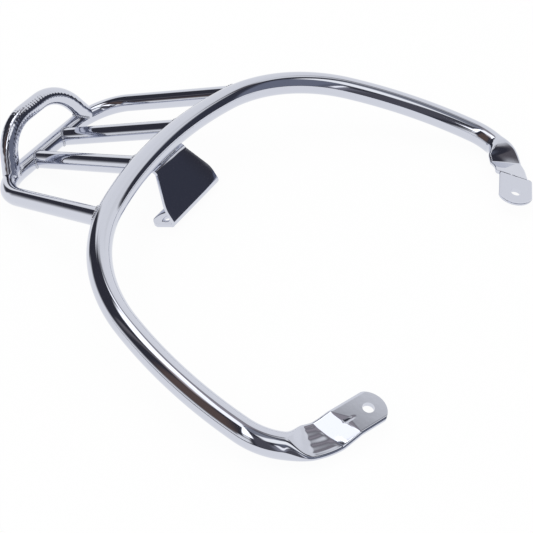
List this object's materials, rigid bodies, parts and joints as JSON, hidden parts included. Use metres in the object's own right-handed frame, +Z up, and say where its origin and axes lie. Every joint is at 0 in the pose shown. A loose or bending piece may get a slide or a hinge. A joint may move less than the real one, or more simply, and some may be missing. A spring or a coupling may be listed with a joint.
{
  "type": "scooter luggage rack",
  "caption": "Chromed tube rear rack: a hoop round the seat with pressed tabs, a sloping rack frame, a raised grab loop and a sheet bracket.",
  "frame": {"origin": "middle of the box round the part, at the level surface that it rests on", "axes": "+X to the scooter's right side, +Y forward, +Z up; it rests on the crossbar and the hoop's front"},
  "size_m": [0.4292, 0.4355, 0.0676],
  "materials": {
    "chrome": "polished",
    "weld": "satin"
  },
  "bodies": {
    "root": {"hoop": "chrome", "tab_right": "chrome", "tab_left": "chrome", "rack_frame": "chrome", "rack_bars": "chrome", "grab_loop": "chrome", "bracket": "chrome", "arm_welds": "weld", "bar_welds": "weld", "loop_welds": "weld", "bracket_welds": "weld"}
  },
  "joints": []
}
